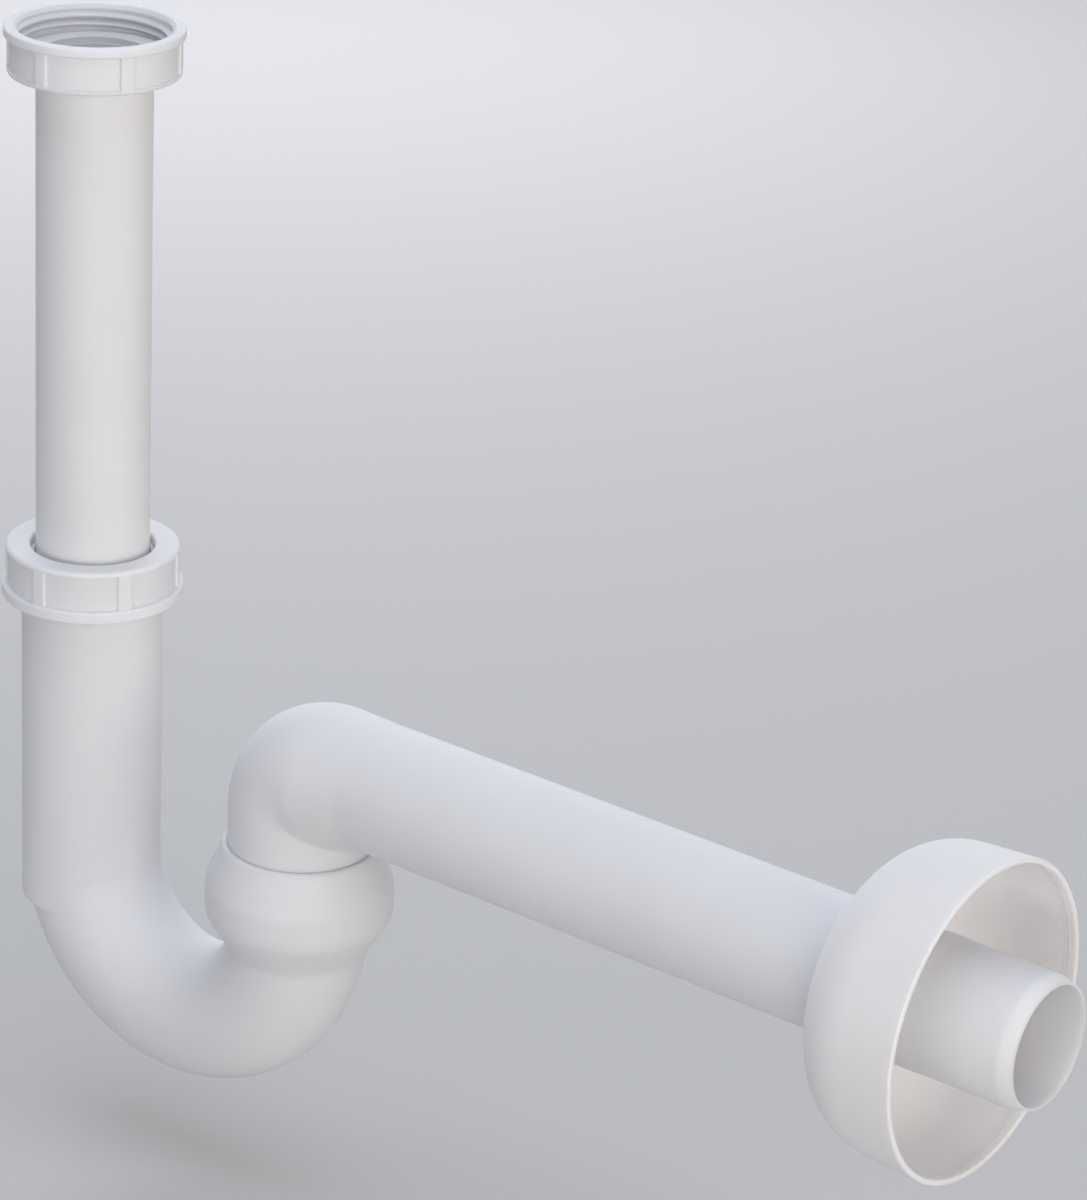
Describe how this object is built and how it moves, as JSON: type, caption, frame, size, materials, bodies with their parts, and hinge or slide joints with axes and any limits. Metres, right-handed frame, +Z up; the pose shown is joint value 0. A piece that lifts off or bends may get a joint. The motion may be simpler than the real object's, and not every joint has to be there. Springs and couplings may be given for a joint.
{
  "type": "waste trap",
  "caption": "Tubular washbasin waste trap: telescoping inlet tube with union nuts, one-piece return bend, swivelling outlet pipe with elbow and a sliding bell-shaped wall rosette.",
  "frame": {"origin": "on the inlet axis, in the plane where the inlet washer seals against the basin waste; the union nut's mouth is 7.2 mm above it", "axes": "+Z up along the inlet axis, out of the union nut's mouth; +X along the outlet pipe, towards the wall"},
  "size_m": [0.349, 0.0856, 0.3013],
  "materials": {
    "nut_plastic": "moulded white polypropylene, semi-matt",
    "tube_plastic": "extruded white polypropylene, semi-matt",
    "trap_plastic": "moulded white polypropylene, semi-matt",
    "pipe_plastic": "moulded white polypropylene, semi-matt",
    "rosette_plastic": "thin moulded white polypropylene, semi-matt",
    "ring_plastic": "white polyethylene, matt",
    "seal_rubber": "soft light grey rubber, matt"
  },
  "bodies": {
    "inlet": {"inlet_tube": "tube_plastic", "inlet_gasket": "seal_rubber"},
    "union_nut": {"inlet_union_nut": "nut_plastic"},
    "seal": {"cone_seal": "seal_rubber"},
    "trap": {"u_bend": "trap_plastic", "socket_seal": "seal_rubber"},
    "ring": {"slip_ring": "ring_plastic"},
    "clamp_nut": {"compression_nut": "nut_plastic"},
    "outlet": {"outlet_pipe": "pipe_plastic"},
    "rosette": {"wall_rosette": "rosette_plastic"}
  },
  "joints": [
    {"name": "union_nut_turn", "type": "hinge", "parent": "inlet", "child": "union_nut", "pos_m": [0, 0, 0], "axis": [0, 0, 1], "continuous": true},
    {"name": "trap_height", "type": "slide", "parent": "inlet", "child": "seal", "axis": [0, 0, 1], "range_m": [-0.03, 0.038]},
    {"name": "trap_swivel", "type": "hinge", "parent": "seal", "child": "trap", "pos_m": [0, 0, -0.15], "axis": [0, 0, 1], "continuous": true},
    {"name": "ring_lift", "type": "slide", "parent": "trap", "child": "ring", "axis": [0, 0, 1], "range_m": [0, 0.00501]},
    {"name": "clamp_nut_turn", "type": "hinge", "parent": "ring", "child": "clamp_nut", "pos_m": [0, 0, -0.15], "axis": [0, 0, 1], "range_deg": [0, 600]},
    {"name": "outlet_swivel", "type": "hinge", "parent": "trap", "child": "outlet", "pos_m": [0.08, 0, -0.2096], "axis": [0, 0, 1], "range_deg": [-120, 120]},
    {"name": "rosette_slide", "type": "slide", "parent": "outlet", "child": "rosette", "axis": [1, 0, 0], "range_m": [-0.15, 0.045]}
  ],
  "couplings": [
    {"joint": "ring_lift", "follows": "clamp_nut_turn", "m_per_rad": 0.00047746}
  ]
}
